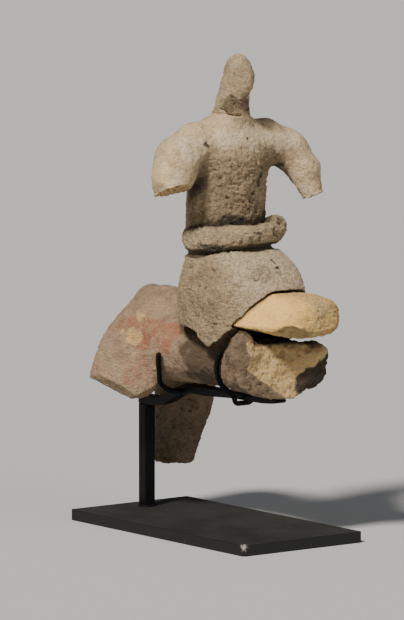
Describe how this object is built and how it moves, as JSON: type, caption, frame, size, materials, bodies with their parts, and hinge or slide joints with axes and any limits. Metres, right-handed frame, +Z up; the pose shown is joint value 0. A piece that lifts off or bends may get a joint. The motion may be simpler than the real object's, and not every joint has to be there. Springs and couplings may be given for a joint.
{
  "type": "terracotta figure on museum mount",
  "caption": "Broken hand-modelled terracotta rider on a horse, held clear of the table on a black steel mount of plate, post, cradle bar and wire prongs.",
  "frame": {"origin": "middle of the base plate's underside, on the surface it stands on", "axes": "+Z up; the horse and its rider face -Y along the plate's length; +X is towards the rider's left hand"},
  "size_m": [0.0998, 0.155, 0.2502],
  "materials": {
    "terracotta": "matt, worn",
    "black_steel": "satin"
  },
  "bodies": {
    "root": {"horse_and_rider": "terracotta", "base_plate": "black_steel", "post": "black_steel", "cradle_bar": "black_steel", "front_prong": "black_steel", "rear_prong_right": "black_steel", "rear_prong_left": "black_steel"}
  },
  "joints": []
}
